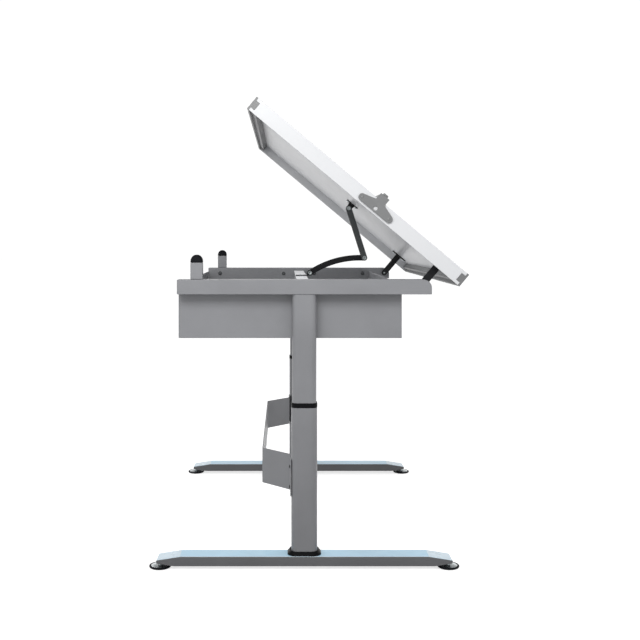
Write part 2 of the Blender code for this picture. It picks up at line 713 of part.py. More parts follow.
def stay_board_bracket(board):
    """A tab under the board that holds the stay's link."""
    x, z = STAY_BOARD_PIVOT
    top = PANEL_BOTTOM - GAP
    bracket = box("stay_board_bracket", (x - 0.024, -0.018, top - STAY_BRACKET_SHEET),
                  (x + 0.024, 0.018, top), BLACK_METAL, board)
    outline = arc((x, z), 0.0088, 180, 360, 12) + [(x + 0.012, top - 0.001), (x - 0.012, top - 0.001)]
    join(bracket, plate("tab", [outline], "xz", -0.0036, 0.0036, None, board))
    cut(bracket, rod("pin_hole", (x, 0, z), PIN_HOLE_RADIUS, 0.030, "+y", None, board))
    profile = headed_pin_profile(STAY_PIN_RADIUS, STAY_LINK_Y[1] + GAP, *STAY_PIN_HEAD)
    turned("stay_board_pin", profile, (x, 0, z), BRIGHT_METAL, board, "+y")


# ---------------------------------------------------------------- stay
def stay_arm(arm):
    """A bowed arm with its knee boss, modelled along +X from the frame pivot."""
    x, z = STAY_FRAME_PIVOT
    outline = shifted(bent_bar(STAY_ARM, STAY_ARM_RISE, STAY_WIDTH), x, z)
    bar = plate("stay_arm", [outline, circle((x, z), PIN_HOLE_RADIUS)], "xz", -STAY_ARM_HALF,
                STAY_ARM_HALF, BLACK_METAL, arm)
    join(bar, rod("knee_boss", (x + STAY_ARM, 0, z), 0.008, 0.0084, "+y", None, arm))


def stay_link(link):
    """Two side plates with a spacer and knee pin heads, along +X from the board pivot."""
    x, z = STAY_BOARD_PIVOT
    inner, outer = STAY_LINK_Y
    outlines = [shifted(straight_bar(STAY_LINK, STAY_WIDTH), x, z),
                circle((x, z), PIN_HOLE_RADIUS)]
    body = plate("stay_link", outlines, "xz", -outer, -inner, DARK_METAL, link)
    join(body, rod("link_spacer", (x + 0.040, 0, z), 0.005, 0.011, "+y", None, link))
    join(body, plate("link_plate", outlines, "xz", inner, outer, None, link))
    for side in (-1, 1):
        place = (x + STAY_LINK, side * 0.0086, z)
        join(body, rod("knee_pin_head", place, 0.007, 0.0032, "+y", None, link))


# ---------------------------------------------------------------- straightedge
def rule_plate_outline():
    half = RULE_WIDTH / 2
    right = arc((RULE_LOBE_X, RULE_LOBE_Z), RULE_LOBE_RADIUS, -90, 62, 8)
    right += [(half + 0.0015, 0.9260), (half, 0.9290), (half, RULE_TOP)]
    return shifted(mirrored(right), RULE_X, 0)


def straightedge(rule):
    half = RULE_WIDTH / 2
    low = BOARD_TOP + GAP
    shoulder = RULE_TOP - RULE_CHAMFER
    crest = half - RULE_CHAMFER
    bar_end = RULE_HALF_LENGTH
    outline = [(RULE_X - half, low), (RULE_X + half, low), (RULE_X + half, shoulder),
               (RULE_X + crest, RULE_TOP), (RULE_X - crest, RULE_TOP), (RULE_X - half, shoulder)]
    bar = plate("straightedge_bar", [outline], "xz", -bar_end, bar_end, EDGE_METAL, rule)
    for side_name, side in SIDES:
        inner = bar_end + GAP
        plate_low, plate_high = sorted((side * inner, side * (inner + RULE_PLATE)))
        hole = circle((RULE_X, RULE_HOLE_Z), RULE_HOLE_RADIUS)
        plate(f"straightedge_end_plate_{side_name}", [rule_plate_outline(), hole], "xz", plate_low,
              plate_high, EDGE_METAL, rule)
        pad_low, pad_high = sorted((side * (BOARD_HALF_LENGTH + GAP), side * bar_end))
        outline = rounded_rectangle((RULE_X, 0.9170), (0.044, 0.008), 0.003, 3)
        plate(f"straightedge_glide_{side_name}", [outline], "xz", pad_low, pad_high,
              BLACK_PLASTIC, rule)
        place = (RULE_X, side * KNOB_Y, RULE_TOP)
        cut(bar, rod("knob_hole", place, BOLT_HOLE_RADIUS, 0.018, "+z", None, rule, 16))


def lock_knob(side_name, group):
    x, y, _ = group.anchor
    profile = [(0, 0.0066), (0.0070, 0.0066), (0.0085, 0.0056), (0.0085, 0.0012), (0.0075, 0),
               (0.0030, 0), (0.0030, -0.0075), (0, -0.0075)]
    turned(f"lock_knob_{side_name}", profile, (x, y, RULE_TOP + GAP), EDGE_METAL, group)


# ---------------------------------------------------------------- assembly
def build():
    table = make_group("table", (0, 0, 0))
    table.empty.location.x = COLUMN_X
    base = make_group("base", (0, 0, 0), parent=table)
    lift = make_group("lift_frame", (0, 0, 0), parent=table)
    board = make_group("board_hinge", (HINGE_X, 0, HINGE_Z), BOARD_TILT, lift)

    for side_name, side in SIDES:
        foot_beam(side_name, side, base)
        for end_name, end in (("back", -1), ("front", 1)):
            place = (end * LEVELLER_X, side * COLUMN_Y, 0)
            leveller = make_group(f"leveller_{side_name}_{end_name}", place, parent=base)
            levelling_foot(f"{side_name}_{end_name}", leveller)
        lower_column(side_name, side, base)
        lift_spring_cylinder(side_name, side, base)
        upper_column(side_name, side, lift)
        side_rail(side_name, side, lift)
        bumper(side_name, side, lift)
        hinge_pin(side_name, side, lift)
        hinge_bracket(side_name, side, board)
    stretcher_panel(base)
    tray(lift)
    cross_beam(lift)
    stay_frame_bracket(lift)
    board_shell(board)
    stay_board_bracket(board)

    board_pivot = tilted_place(STAY_BOARD_PIVOT)
    knee = knee_place(STAY_FRAME_PIVOT, board_pivot)
    anchor = (STAY_FRAME_PIVOT[0], 0, STAY_FRAME_PIVOT[1])
    arm = make_group("stay_arm_pivot", anchor, slope(STAY_FRAME_PIVOT, knee), lift)
    stay_arm(arm)
    anchor = (STAY_BOARD_PIVOT[0], 0, STAY_BOARD_PIVOT[1])
    link = make_group("stay_link_pivot", anchor, slope(board_pivot, knee) - BOARD_TILT, board)
    stay_link(link)

    rule = make_group("straightedge", (RULE_X, 0, BOARD_TOP), parent=board)
    straightedge(rule)
    for side_name, side in SIDES:
        anchor = (RULE_X, side * KNOB_Y, RULE_TOP)
        lock_knob(side_name, make_group(f"lock_knob_axis_{side_name}", anchor, parent=rule))


build()
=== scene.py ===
"""Looks of the drafting table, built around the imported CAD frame.

The board's pieces are modelled level, in the frame that the board has when its tilt joint is at
its lower limit, and are then turned to the rest slope. Left is -Y, right is +Y, the user is at +X.
"""
import json
import math

import bmesh
import bpy
from mathutils import Matrix, Vector


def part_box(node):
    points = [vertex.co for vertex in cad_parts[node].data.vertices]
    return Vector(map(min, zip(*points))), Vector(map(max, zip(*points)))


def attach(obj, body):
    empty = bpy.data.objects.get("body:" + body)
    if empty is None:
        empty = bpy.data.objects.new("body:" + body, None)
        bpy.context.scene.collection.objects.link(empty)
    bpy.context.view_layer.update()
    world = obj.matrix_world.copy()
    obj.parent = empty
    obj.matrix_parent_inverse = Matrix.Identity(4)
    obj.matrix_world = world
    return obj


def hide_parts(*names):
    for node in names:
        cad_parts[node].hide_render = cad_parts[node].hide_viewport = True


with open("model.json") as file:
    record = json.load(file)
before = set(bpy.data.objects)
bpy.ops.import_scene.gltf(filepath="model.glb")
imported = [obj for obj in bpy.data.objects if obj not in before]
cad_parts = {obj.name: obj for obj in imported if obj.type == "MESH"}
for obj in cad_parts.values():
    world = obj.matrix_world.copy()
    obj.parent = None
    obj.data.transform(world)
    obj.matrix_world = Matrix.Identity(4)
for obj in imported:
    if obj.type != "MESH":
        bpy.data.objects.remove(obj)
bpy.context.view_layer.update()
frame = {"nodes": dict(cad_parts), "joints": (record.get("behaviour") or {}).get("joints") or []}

SIDES = (("left", -1), ("right", 1))
ENDS = (("back", -1), ("front", 1))
JOINTS = {joint["name"]: joint for joint in frame["joints"]}

# ---------------------------------------------------------------- places taken from the frame
HINGE = Vector(JOINTS["board_tilt"]["pos_m"])
TILT = -math.radians(JOINTS["board_tilt"]["range_deg"][0])
BOARD_TURN = (Matrix.Translation(HINGE) @ Matrix.Rotation(TILT, 4, "Y")
              @ Matrix.Translation(-HINGE))
FRAME_PIVOT = Vector(JOINTS["stay_arm_swing"]["pos_m"])
BOARD_PIVOT = Vector(JOINTS["stay_link_swing"]["pos_m"])

# ---------------------------------------------------------------- measures, in metres
STAY_ARM = 0.1988
STAY_LINK = 0.1834
STAY_ARM_RISE = 0.016
STAY_WIDTH = 0.020
STAY_HOLE_RADIUS = 0.0046
ARM_THICKNESS = 0.006
LINK_PLATE_FACES = (0.0045, 0.0075)
STRETCHER_BOLT_HEIGHTS = (0.235, 0.294)
STRETCHER_FLANGE_OFFSET = 0.0033
FRAME_BOLT_OFFSETS = (-0.322, -0.062, 0.062, 0.261)
FRAME_BOLT_HEIGHT = 0.821
FRAME_BOLT_REACH = 0.534
RAIL_NOSE_RADIUS = 0.024
HEM_THICKNESS = 0.0011
HEM_DEPTH = 0.009
HINGE_SHOULDER_Y = 0.5173
RULE_LOBE_Z = 0.9049
RULE_LOBE_REACH = 0.050
STUD_THREADS = 14
SLIDE_GAP = 0.0003
SURFACE_GAP = 0.0002
WELD = 0.000005
CORNER_STEPS = 14


def plan(node):
    """A CAD node's box seen from above: its middle and its size."""
    low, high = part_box(node)
    return ((low.x + high.x) / 2, (low.y + high.y) / 2), (high.x - low.x, high.y - low.y)


def level_box(node):
    """A board node's lowest and highest corners with the board level."""
    unturn = BOARD_TURN.inverted()
    points = [unturn @ v.co for v in frame["nodes"][node].data.vertices]
    low = Vector(min(p[i] for p in points) for i in range(3))
    high = Vector(max(p[i] for p in points) for i in range(3))
    return low, high


def middle(node):
    low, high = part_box(node)
    return (low + high) / 2


def knee_place():
    """Where the arm and the link of the stay meet at rest."""
    start = Vector((FRAME_PIVOT.x, FRAME_PIVOT.z))
    reach = Vector((BOARD_PIVOT.x, BOARD_PIVOT.z)) - start
    span = reach.length
    along = (STAY_ARM ** 2 - STAY_LINK ** 2 + span ** 2) / (2 * span)
    offset = math.sqrt(STAY_ARM ** 2 - along ** 2)
    unit = reach / span
    knee = start + unit * along + Vector((unit.y, -unit.x)) * offset
    return Vector((knee.x, 0, knee.y))


def bar_turn(start, end):
    """Places a bar modelled from the origin along +X between two points of the middle plane."""
    angle = -math.atan2(end.z - start.z, end.x - start.x)
    return Matrix.Translation(start) @ Matrix.Rotation(angle, 4, "Y")


KNEE = knee_place()
ARM_TURN = bar_turn(FRAME_PIVOT, KNEE)
LINK_TURN = bar_turn(BOARD_PIVOT, KNEE)
IDENTITY = Matrix.Identity(4)


# ---------------------------------------------------------------- materials
def new_material(name, roughness, metallic=0.0, coat=0.0, gloss=0.5):
    finish = bpy.data.materials.new(name)
    finish.use_nodes = True
    shader = finish.node_tree.nodes["Principled BSDF"]
    shader.inputs["Roughness"].default_value = roughness
    shader.inputs["Metallic"].default_value = metallic
    shader.inputs["Specular IOR Level"].default_value = gloss
    shader.inputs["Coat Weight"].default_value = coat
    shader.inputs["Coat Roughness"].default_value = 0.12
    return finish, finish.node_tree, shader


def noise(tree, scale, detail=3.0, stretch=(1, 1, 1)):
    """Noise in the object's own space. stretch below 1 draws it out along that axis."""
    place = tree.nodes.new("ShaderNodeTexCoord")
    mapping = tree.nodes.new("ShaderNodeMapping")
    mapping.inputs["Scale"].default_value = stretch
    texture = tree.nodes.new("ShaderNodeTexNoise")
    texture.inputs["Scale"].default_value = scale
    texture.inputs["Detail"].default_value = detail
    tree.links.new(place.outputs["Object"], mapping.inputs["Vector"])
    tree.links.new(mapping.outputs["Vector"], texture.inputs["Vector"])
    return texture.outputs["Fac"]


def spread(tree, value, low, high):
    """Maps noise between 0.3 and 0.7 to a range."""
    remap = tree.nodes.new("ShaderNodeMapRange")
    remap.inputs["From Min"].default_value = 0.3
    remap.inputs["From Max"].default_value = 0.7
    remap.inputs["To Min"].default_value = low
    remap.inputs["To Max"].default_value = high
    tree.links.new(value, remap.inputs["Value"])
    return remap.outputs["Result"]


def tint(tree, value, dark, light):
    ramp = tree.nodes.new("ShaderNodeValToRGB")
    ramp.color_ramp.elements[0].position = 0.35
    ramp.color_ramp.elements[0].color = (*dark, 1)
    ramp.color_ramp.elements[1].position = 0.65
    ramp.color_ramp.elements[1].color = (*light, 1)
    tree.links.new(value, ramp.inputs["Fac"])
    return ramp.outputs["Color"]


def bump(tree, shader, value, strength, distance, below=None):
    node = tree.nodes.new("ShaderNodeBump")
    node.inputs["Strength"].default_value = strength
    node.inputs["Distance"].default_value = distance
    tree.links.new(value, node.inputs["Height"])
    if below:
        tree.links.new(below, node.inputs["Normal"])
    tree.links.new(node.outputs["Normal"], shader.inputs["Normal"])
    return node.outputs["Normal"]


def shaded(color, amount):
    return tuple(channel * amount for channel in color)


def painted_floor_shade(tree, color_out, low, high):
    """Painted shade: darkens a colour towards the floor, low at the floor, high at the height of the
    rails.
    """
    place = tree.nodes.new("ShaderNodeTexCoord")
    split = tree.nodes.new("ShaderNodeSeparateXYZ")
    remap = tree.nodes.new("ShaderNodeMapRange")
    remap.inputs["From Max"].default_value = 0.85
    remap.inputs["To Min"].default_value = low
    remap.inputs["To Max"].default_value = high
    scale = tree.nodes.new("ShaderNodeVectorMath")
    scale.operation = "SCALE"
    tree.links.new(place.outputs["Object"], split.inputs["Vector"])
    tree.links.new(split.outputs["Z"], remap.inputs["Value"])
    tree.links.new(color_out, scale.inputs["Vector"])
    tree.links.new(remap.outputs["Result"], scale.inputs["Scale"])
    return scale.outputs["Vector"]


def powder_coat(name, color, roughness=0.42, coat=0.15, gloss=0.5, floor_shade=None, peel=0.16):
    """Baked paint: a fine orange-peel surface with faint clouding and, when asked, painted shade
    that darkens it towards the floor.
    """
    finish, tree, shader = new_material(name, roughness, 0.0, coat, gloss)
    clouds = noise(tree, 7.0, 4.0)
    color_out = tint(tree, clouds, shaded(color, 0.94), shaded(color, 1.05))
    # painted shade: the colour darkens towards the floor
    if floor_shade:
        color_out = painted_floor_shade(tree, color_out, *floor_shade)
    tree.links.new(color_out, shader.inputs["Base Color"])
    rough = spread(tree, noise(tree, 45.0), roughness - 0.06, roughness + 0.07)
    tree.links.new(rough, shader.inputs["Roughness"])
    waves = bump(tree, shader, noise(tree, 260.0, 2.0), peel * 0.6, 0.0002)
    bump(tree, shader, noise(tree, 900.0, 2.0), peel, 0.0001, waves)
    return finish


def drawn_metal(name, color, roughness=0.35, stretch=(1, 0.02, 1), metallic=0.85):
    """Extruded or brushed metal with its grain drawn out along one axis."""
    finish, tree, shader = new_material(name, roughness, metallic)
    grain = noise(tree, 1400.0, 3.0, stretch)
    clouds = noise(tree, 9.0, 3.0)
    tree.links.new(tint(tree, clouds, shaded(color, 0.94), shaded(color, 1.05)),
                   shader.inputs["Base Color"])
    tree.links.new(spread(tree, grain, roughness - 0.08, roughness + 0.10),
                   shader.inputs["Roughness"])
    bump(tree, shader, grain, 0.12, 0.00008)
    return finish


def plated_metal(name, color, roughness=0.24):
    """Zinc plating: bright, with a soft mottle."""
    finish, tree, shader = new_material(name, roughness, 1.0)
    mottle = noise(tree, 260.0, 5.0)
    tree.links.new(tint(tree, mottle, shaded(color, 0.93), shaded(color, 1.05)),
                   shader.inputs["Base Color"])
    tree.links.new(spread(tree, mottle, roughness - 0.04, roughness + 0.08),
                   shader.inputs["Roughness"])
    bump(tree, shader, noise(tree, 900.0, 2.0), 0.03, 0.00003)
    return finish


def moulded(name, color, roughness=0.5, grain=1300.0, depth=0.00012, gloss=0.12):
    """Moulded plastic or rubber with a fine eroded grain."""
    finish, tree, shader = new_material(name, roughness, gloss=gloss)
    cells = noise(tree, grain, 4.0)
    tree.links.new(tint(tree, noise(tree, 30.0), shaded(color, 0.85), shaded(color, 1.2)),
                   shader.inputs["Base Color"])
    tree.links.new(spread(tree, cells, roughness - 0.06, roughness + 0.08),
                   shader.inputs["Roughness"])
    bump(tree, shader, cells, 0.28, depth)
    return finish


def laminate(name, color, roughness=0.34):
    """White melamine laminate: a matt pearl surface with a barely visible texture."""
    finish, tree, shader = new_material(name, roughness, 0.0, 0.1)
    clouds = noise(tree, 4.0, 4.0)
    tree.links.new(tint(tree, clouds, shaded(color, 0.975), shaded(color, 1.015)),
                   shader.inputs["Base Color"])
    tree.links.new(spread(tree, noise(tree, 60.0), roughness - 0.04, roughness + 0.05),
                   shader.inputs["Roughness"])
    bump(tree, shader, noise(tree, 1100.0, 2.0), 0.10, 0.00008)
    return finish


GREY = (0.262, 0.266, 0.280)
# painted shade on the frame paint: 0.56 of its colour at the floor, full at the height of the rails
FLOOR_SHADE = (0.56, 1.0)
LOOKS = {
    "frame_paint": powder_coat("frame_paint_look", GREY, floor_shade=FLOOR_SHADE),
    # near-white painted highlight for the cross beam's top faces
    "beam_painted_highlight": powder_coat("beam_top_look", (0.93, 0.94, 0.96), 0.4, peel=0.0),
    # the frame grey darkened to 0.38: painted shade on the foot beams' sides
    "foot_painted_shade": powder_coat("foot_paint_look", shaded(GREY, 0.38), 0.36, gloss=0.3),
    # pale blue painted reflection of the sky on the foot beams' flat tops and their slopes
    "foot_top_painted_reflection": powder_coat("foot_top_look", (0.50, 0.78, 0.97), 0.34, 0.3, peel=0.04),
    "foot_slope_painted_reflection": powder_coat("foot_slope_look", (0.72, 0.87, 0.97), 0.3, 0.3, peel=0.04),
    "tray_paint": powder_coat("tray_paint_look", shaded(GREY, 0.95)),
    "edge_metal": drawn_metal("edge_metal_look", (0.19, 0.193, 0.195), 0.40, metallic=0.15),
    "black_metal": powder_coat("black_metal_look", (0.004, 0.0045, 0.006), 0.34, 0.05, 0.2),
    "dark_metal": powder_coat("dark_metal_look", (0.050, 0.056, 0.058), 0.34, 0.1, 0.4),
    "bolt_metal": powder_coat("bolt_metal_look", (0.085, 0.090, 0.094), 0.3, 0.1, 0.4),
    "bright_metal": plated_metal("bright_metal_look", (0.66, 0.70, 0.71)),
    "pin_metal": plated_metal("pin_metal_look", (0.34, 0.37, 0.37), 0.34),
    "white_laminate": laminate("white_laminate_look", (0.765, 0.775, 0.79)),
    "black_rubber": moulded("black_rubber_look", (0.0035, 0.004, 0.006), 0.6),
    "black_plastic": moulded("black_plastic_look", (0.002, 0.0022, 0.003), 0.4, 1800.0, 0.00006,
                             0.08),
}


# ---------------------------------------------------------------- mesh helpers
def finish_piece(name, shape, looks, body, replaced=(), turn=IDENTITY, bevel=0.0, segments=3,
                 sharp=35):
    """Turns a bmesh into a finished piece: bevelled, shaded and riding on its body. Its faces
    take its first look; any further looks are added after it."""
    if isinstance(looks, str):
        looks = [looks]
    bmesh.ops.recalc_face_normals(shape, faces=shape.faces)
    mesh = bpy.data.meshes.new(name)
    shape.to_mesh(mesh)
    shape.free()
    for look in looks:
        mesh.materials.append(LOOKS[look])
    draft = bpy.data.objects.new(name + "_draft", mesh)
    bpy.context.scene.collection.objects.link(draft)
    if bevel:
        rounding = draft.modifiers.new("round", "BEVEL")
        rounding.width = bevel
        rounding.segments = segments
        rounding.limit_method = "ANGLE"
        rounding.angle_limit = math.radians(sharp)
    graph = bpy.context.evaluated_depsgraph_get()
    graph.update()
    final = bpy.data.meshes.new_from_object(draft.evaluated_get(graph), depsgraph=graph)
    bpy.data.objects.remove(draft)
    final.name = name
    final.shade_smooth()
    final.set_sharp_from_angle(angle=math.radians(sharp))
    piece = bpy.data.objects.new(name, final)
    bpy.context.scene.collection.objects.link(piece)
    piece.matrix_world = turn
    even = piece.modifiers.new("even", "WEIGHTED_NORMAL")
    even.keep_sharp = True
    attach(piece, body)
    for node in replaced:
        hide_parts(node)
    return piece


def arc(centre, radius, start, end, steps):
    points = []
    for i in range(steps + 1):
        angle = math.radians(start + (end - start) * i / steps)
        points.append((centre[0] + radius * math.cos(angle), centre[1] + radius * math.sin(angle)))
    return points


def circle(centre, radius, sides=32):
    return arc(centre, radius, 0, 360 - 360 / sides, sides - 1)


def rounded_rectangle(centre, size, radius, steps=10):
    half_x = size[0] / 2 - radius
    half_y = size[1] / 2 - radius
    points = []
    for turn, (sign_x, sign_y) in enumerate(((1, 1), (-1, 1), (-1, -1), (1, -1))):
        corner = (centre[0] + sign_x * half_x, centre[1] + sign_y * half_y)
        points += arc(corner, radius, 90 * turn, 90 * turn + 90, steps)
    return points


def slab(outlines, low, high):
    """Closed XZ outlines made thick along Y: the first is the outside, the others are holes."""
    curve = bpy.data.curves.new("sketch", "CURVE")
    curve.dimensions = "2D"
    curve.fill_mode = "BOTH"
    curve.extrude = abs(high - low) / 2
    for outline in outlines:
        spline = curve.splines.new("POLY")
        spline.points.add(len(outline) - 1)
        for point, (u, v) in zip(spline.points, outline):
            point.co = (u, v, 0, 1)
        spline.use_cyclic_u = True
    sketch = bpy.data.objects.new("sketch", curve)
    bpy.context.scene.collection.objects.link(sketch)
    graph = bpy.context.evaluated_depsgraph_get()
    graph.update()
    mesh = bpy.data.meshes.new_from_object(sketch.evaluated_get(graph), depsgraph=graph)
    bpy.data.objects.remove(sketch)
    bpy.data.curves.remove(curve)
    centre = (low + high) / 2
    mesh.transform(Matrix.Translation((0, centre, 0)) @ Matrix.Rotation(math.pi / 2, 4, "X"))
    shape = bmesh.new()
    shape.from_mesh(mesh)
    bpy.data.meshes.remove(mesh)
    bmesh.ops.remove_doubles(shape, verts=shape.verts, dist=WELD)
    if len(outlines) == 1:
        bmesh.ops.dissolve_limit(shape, angle_limit=math.radians(0.5), verts=shape.verts,
                                 edges=shape.edges)
    return shape


def pole(shape, height):
    """A ring of one vertex, on the axis."""
    return [shape.verts.new((0, 0, height))]


def ring_of(shape, radius, height, steps):
    """A ring round the Z axis. radius is a number, or a function of the angle."""
    ring = []
    for i in range(steps):
        angle = math.tau * i / steps
        reach = radius(angle) if callable(radius) else radius
        ring.append(shape.verts.new((reach * math.cos(angle), reach * math.sin(angle), height)))
    return ring


def aimed(shape, place, direction):
    """Moves a shape modelled along +Z to its place, turned along a direction."""
    bmesh.ops.transform(shape, matrix=Matrix.Translation(place) @ pointing(direction),
                        verts=shape.verts)
    return shape


def lathe(profile, place, direction="+z", steps=48):
    """A turned shape. profile is (radius, height) along its outer side; height runs along
    direction from place. Points at radius 0 close it."""
    shape = bmesh.new()
    rings = [ring_of(shape, radius, height, steps) if radius else pole(shape, height)
             for radius, height in profile]
    join_rings(shape, rings)
    return aimed(shape, place, direction)


def pointing(direction):
    quarter = math.pi / 2
    turns = {"+z": IDENTITY, "-z": Matrix.Rotation(math.pi, 4, "X"),
             "+y": Matrix.Rotation(-quarter, 4, "X"), "-y": Matrix.Rotation(quarter, 4, "X"),
             "-x": Matrix.Rotation(-quarter, 4, "Y")}
    return turns[direction]


def outward(side):
    return "+y" if side > 0 else "-y"


def inward(side):
    return "-y" if side > 0 else "+y"


def join_rings(shape, rings, closed=False):
    """Skins a run of vertex rings. A ring of one vertex is a pole."""
    pairs = list(zip(rings, rings[1:]))
    if closed:
        pairs.append((rings[-1], rings[0]))
    for lower, upper in pairs:
        count = max(len(lower), len(upper))
        for i in range(count):
            j = (i + 1) % count
            if len(lower) == 1:
                shape.faces.new((lower[0], upper[j], upper[i]))
            elif len(upper) == 1:
                shape.faces.new((lower[i], lower[j], upper[0]))
            else:
                shape.faces.new((lower[i], lower[j], upper[j], upper[i]))


def tower(sections, closed=True):
    """Skins outlines at given heights. Closed means that the last section meets the first, as in
    a tube; open ends are filled."""
    shape = bmesh.new()
    rings = [[shape.verts.new((u, v, height)) for u, v in outline] for height, outline in sections]
    join_rings(shape, rings, closed)
    if not closed:
        shape.faces.new(rings[0])
        shape.faces.new(rings[-1])
    return shape


def refined(node, look, body, bevel=0.0, segments=2):
    """A copy of a CAD node with its flat faces whole again and its edges rounded."""
    shape = bmesh.new()
    shape.from_mesh(frame["nodes"][node].data)
    bmesh.ops.remove_doubles(shape, verts=shape.verts, dist=WELD)
    bmesh.ops.dissolve_limit(shape, angle_limit=math.radians(1), verts=shape.verts,
                             edges=shape.edges)
    return finish_piece(node + "_look", shape, look, body, [node], bevel=bevel,
                        segments=segments)


def box_shape(low, high):
    shape = bmesh.new()
    bmesh.ops.create_cube(shape, size=1.0)
    size = Vector(high) - Vector(low)
    bmesh.ops.scale(shape, vec=size, verts=shape.verts)
    bmesh.ops.translate(shape, vec=(Vector(low) + Vector(high)) / 2, verts=shape.verts)
    return shape


# ---------------------------------------------------------------- fasteners
def socket_bolt(name, place, direction, body, radius=0.0065, height=0.0038, shank=0.003,
                length=0.008, look="black_metal"):
    """A button-head bolt with a hexagon socket. Its head stands on place, along direction."""
    steps = 36
    socket = radius * 0.42
    profile = [(shank, -length), (shank, 0), (radius * 0.97, 0), (radius, height * 0.1),
               (radius * 0.97, height * 0.42), (radius * 0.82, height * 0.76),
               (radius * 0.62, height * 0.95), (socket * 1.25, height)]

    def hexagon(angle):
        return socket * (math.cos(math.pi / 6) / math.cos((angle % (math.pi / 3)) - math.pi / 6))

    shape = bmesh.new()
    rings = [pole(shape, -length)]
    rings += [ring_of(shape, *point, steps) for point in profile]
    rings += [ring_of(shape, hexagon, depth, steps) for depth in (height, height * 0.35)]
    rings.append(pole(shape, height * 0.3))
    join_rings(shape, rings)
    return finish_piece(name, aimed(shape, place, direction), look, body, sharp=40)


def cross_screw(name, place, direction, body, radius=0.0045, height=0.0024, turn=IDENTITY):
    """A pan-head screw with a cross recess cut by pulling in four spokes."""
    steps = 40
    profile = [(radius, 0), (radius, height * 0.35), (radius * 0.9, height * 0.72),
               (radius * 0.7, height * 0.95), (radius * 0.5, height)]

    def cross(reach):
        return lambda angle: radius * (0.42 if abs(math.cos(2 * angle)) > 0.9 else 0.16) * reach

    shape = bmesh.new()
    rings = [pole(shape, 0)]
    rings += [ring_of(shape, *point, steps) for point in profile]
    rings += [ring_of(shape, cross(1.0), height, steps),
              ring_of(shape, cross(0.85), height * 0.4, steps)]
    rings.append(pole(shape, height * 0.35))
    join_rings(shape, rings)
    return finish_piece(name, aimed(shape, place, direction), "bright_metal", body, turn=turn,
                        sharp=40)


def pivot_pin(node, place, body):
    """A stay pin with a head at each end and a small centre dimple in each head."""
    low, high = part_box(node)
    end = (high.y - low.y) / 2
    shank = 0.004
    head = 0.007
    grip = end - 0.0025
    half = [(shank, grip), (head, grip), (head, end - 0.0006), (head - 0.0006, end),
            (head * 0.45, end), (head * 0.3, end - 0.0007), (0, end - 0.0008)]
    profile = [(radius, -height) for radius, height in reversed(half)] + half
    finish_piece(node + "_look", lathe(profile, place, "+y"), "pin_metal", body, [node])


def face_up(piece, level):
    """Gives a piece's upward faces above a level its second look, and sloping ones its third:
    painted highlights and reflections on its tops.
    """
    looks = len(piece.data.materials)
    for face in piece.data.polygons:
        if face.normal.z > 0.75 and face.center.z > level:
            face.material_index = 1 if face.normal.z > 0.995 else looks - 1


# ---------------------------------------------------------------- base
def foot_beams():
    """The beams keep the CAD shape; their upper faces get a pale blue painted reflection of the sky.
    """
    for side_name, _ in SIDES:
        piece = refined(f"foot_beam_{side_name}", ["foot_painted_shade", "foot_top_painted_reflection", "foot_slope_painted_reflection"],
                        "base")
        face_up(piece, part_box(f"foot_beam_{side_name}")[1].z - 0.013)


def levelling_feet():
    for side_name, _ in SIDES:
        for end_name, _ in ENDS:
            name = f"{side_name}_{end_name}"
            body = f"leveller_{name}"
            centre = middle(f"foot_pad_{name}")
            place = Vector((centre.x, centre.y, 0))
            dome = [(0, 0.0036), (0.0268, 0.0036), (0.0272, 0.0044), (0.0266, 0.0060),
                    (0.0235, 0.0074), (0.0180, 0.0088), (0.0125, 0.0098), (0.0095, 0.0104),
                    (0.0078, 0.0107), (0.0070, 0.0111)]
            for i in range(STUD_THREADS):
                root = 0.0113 + 0.001 * i
                dome += [(0.0036, root), (0.0040, root + 0.0005)]
            dome += [(0.0036, 0.0258), (0.0030, 0.0262), (0, 0.0262)]
            finish_piece(f"levelling_foot_{name}_look", lathe(dome, place, steps=64),
                         "bright_metal", body, [f"levelling_foot_{name}"])
            cup = [(0, 0), (0.0255, 0), (0.0265, 0.0004), (0.0275, 0.0004), (0.0288, 0.0002),
                   (0.0305, 0.0008), (0.0318, 0.0022), (0.0324, 0.0038), (0.0323, 0.0050),
                   (0.0314, 0.0060), (0.0300, 0.0066), (0.0286, 0.0068), (0.0278, 0.0065),
                   (0.0276, 0.0058), (0.0276, 0.0033), (0, 0.0033)]
            finish_piece(f"foot_pad_{name}_look", lathe(cup, place, steps=64), "black_rubber", body,
                         [f"foot_pad_{name}"], sharp=50)


def column_tube(node, body, corner, wall):
    """A rounded rectangular tube with eased rims."""
    low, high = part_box(node)
    centre, size = plan(node)
    ease = 0.0004

    def section(inset, height):
        return height, rounded_rectangle(centre, (size[0] - 2 * inset, size[1] - 2 * inset),
                                         corner - inset, CORNER_STEPS)

    sections = [section(0, low.z + ease), section(0, high.z - ease), section(ease, high.z),
                section(wall - ease, high.z), section(wall, high.z - ease),
                section(wall, low.z + ease), section(wall - ease, low.z), section(ease, low.z)]
    finish_piece(node + "_look", tower(sections), "frame_paint", body, [node], sharp=60)


def moulded_ring(node, outer_profile, corner, tube, hole_corner, ease, slimmest=1.0):
    """A plastic ring round a column tube. outer_profile is (inset from the CAD size, height
    share). Along Y, where the foot beam is, the inset goes no further than slimmest."""
    low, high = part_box(node)
    centre, size = plan(node)
    sections = []
    for inset, share in outer_profile:
        slim = min(inset, slimmest)
        outline = rounded_rectangle(centre, (size[0] - 2 * inset, size[1] - 2 * slim),
                                    corner - slim, CORNER_STEPS)
        sections.append((low.z + share * (high.z - low.z), outline))
    hole = [side + 2 * SLIDE_GAP for side in plan(tube)[1]]
    for height in (high.z - ease, low.z + ease):
        sections.append((height, rounded_rectangle(centre, hole, hole_corner, CORNER_STEPS)))
    finish_piece(node + "_look", tower(sections), "black_plastic", "base", [node], sharp=50)


